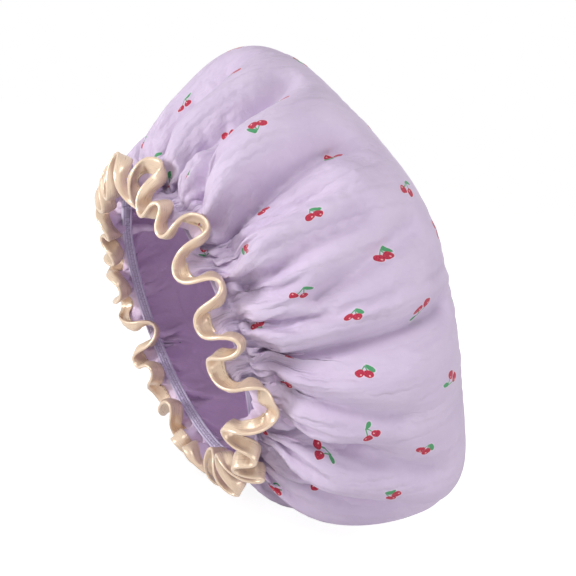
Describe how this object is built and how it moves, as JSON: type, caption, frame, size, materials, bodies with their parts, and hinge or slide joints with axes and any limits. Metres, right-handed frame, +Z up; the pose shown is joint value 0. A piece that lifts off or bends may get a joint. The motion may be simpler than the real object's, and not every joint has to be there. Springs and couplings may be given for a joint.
{
  "type": "shower cap",
  "caption": "Bouffant shower cap of printed cotton over a waterproof lining, gathered on a sewn-in elastic, its ruffled rim bound in satin tape.",
  "frame": {"origin": "on the floor, under the middle of the box of the cap lying on its side", "axes": "+Z up; +X towards the crown; the mouth faces -X and a little down; Y runs across the mouth"},
  "size_m": [0.2034, 0.2648, 0.2325],
  "materials": {
    "printed_cotton": "woven cotton, lilac with a scattered small fruit print",
    "lining_film": "soft lilac waterproof film, satin",
    "ribbed_elastic": "ribbed knitted elastic, pale lilac",
    "satin_tape": "champagne satin, folded",
    "sewing_thread": "twisted polyester thread"
  },
  "bodies": {
    "root": {"printed_shell": "printed_cotton", "waterproof_lining": "lining_film", "elastic_band": "ribbed_elastic", "satin_binding": "satin_tape", "elastic_zigzag_thread": "sewing_thread", "gather_seam_thread": "sewing_thread", "binding_face_thread": "sewing_thread", "binding_back_thread": "sewing_thread", "elastic_join_tack": "sewing_thread"}
  },
  "joints": []
}
